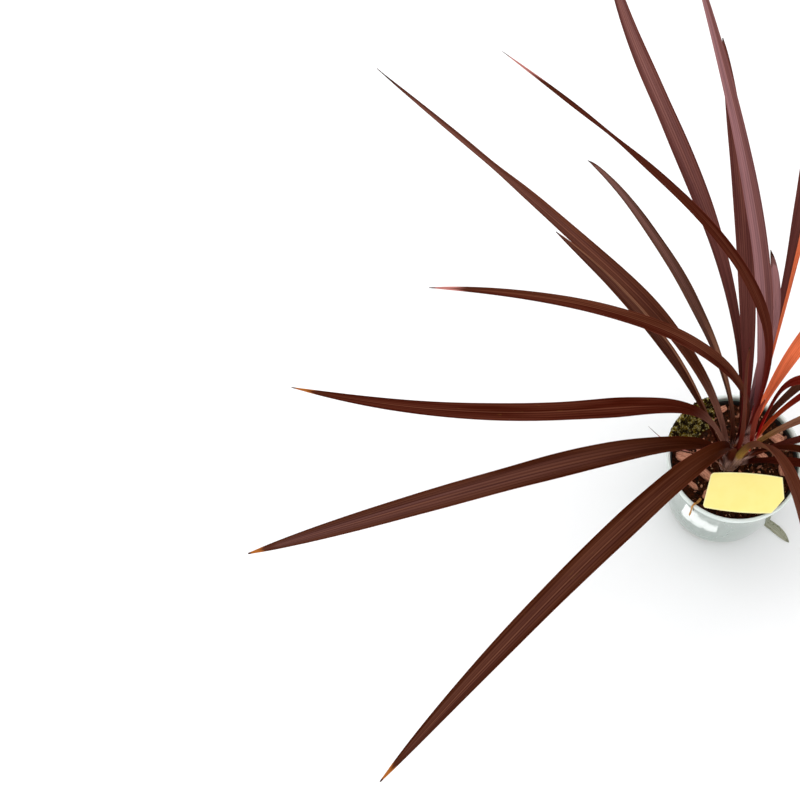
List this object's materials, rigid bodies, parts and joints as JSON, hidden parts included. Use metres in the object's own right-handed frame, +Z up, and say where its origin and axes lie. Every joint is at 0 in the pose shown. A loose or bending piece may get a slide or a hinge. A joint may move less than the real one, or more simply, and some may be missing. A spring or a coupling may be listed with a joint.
{
  "type": "potted cordyline",
  "caption": "House plant in a round glazed pot: long arching bronze-red sword leaves spread from a short trunk set in bark-topped soil, with a bare plant label.",
  "frame": {"origin": "centre of the pot's flat underside", "axes": "+Z up; -Y is the side that the picture was taken from, +X is to its right"},
  "size_m": [0.8879, 0.6694, 0.5556],
  "materials": {
    "glaze": "smooth glossy pale grey-green glaze",
    "potting_soil": "damp loose potting mix",
    "trunk_bark": "dry ringed bark",
    "moss": "matt moss",
    "bark_chip": "rough split bark",
    "label_card": "satin card",
    "leaf_bronze": "satin ribbed leaf, bronze brown",
    "leaf_burgundy": "satin ribbed leaf, dark red",
    "leaf_olive": "satin ribbed leaf, olive brown",
    "leaf_plum": "satin ribbed leaf, plum",
    "leaf_salmon": "satin ribbed leaf, back-lit red",
    "dry_leaf": "dry leaf",
    "faded_leaf": "faded leaf"
  },
  "bodies": {
    "root": {"bark_chip_01": "bark_chip", "bark_chip_02": "bark_chip", "bark_chip_03": "bark_chip", "bark_chip_04": "bark_chip", "bark_chip_05": "bark_chip", "bark_chip_06": "bark_chip", "bark_chip_07": "bark_chip", "bark_chip_08": "bark_chip", "bark_chip_09": "bark_chip", "bark_chip_10": "bark_chip", "bark_chip_11": "bark_chip", "bark_chip_12": "bark_chip", "dry_blade": "dry_leaf", "label": "label_card", "leaf_back_broad": "leaf_plum", "leaf_back_folded": "leaf_plum", "leaf_back_left_long": "leaf_bronze", "leaf_back_left_lower": "leaf_olive", "leaf_back_left_short": "leaf_olive", "leaf_back_left_thin": "leaf_burgundy", "leaf_back_right_bright": "leaf_plum", "leaf_back_upright_left": "leaf_plum", "leaf_front_left": "leaf_bronze", "leaf_front_right": "leaf_bronze", "leaf_inner_front": "leaf_bronze", "leaf_inner_red": "leaf_salmon", "leaf_inner_tip": "leaf_burgundy", "leaf_left_arching": "leaf_burgundy", "leaf_left_low": "leaf_bronze", "leaf_left_small": "dry_leaf", "leaf_left_upper": "leaf_burgundy", "leaf_right_dark_red": "leaf_burgundy", "leaf_right_front": "leaf_bronze", "leaf_right_low": "leaf_burgundy", "leaf_right_olive": "leaf_olive", "leaf_right_orange": "leaf_salmon", "leaf_right_pink": "leaf_burgundy", "leaf_right_red_arch": "leaf_burgundy", "leaf_right_tan": "leaf_olive", "moss": "moss", "pot": "glaze", "soil": "potting_soil", "trunk": "trunk_bark", "withered_leaf": "faded_leaf"}
  },
  "joints": []
}
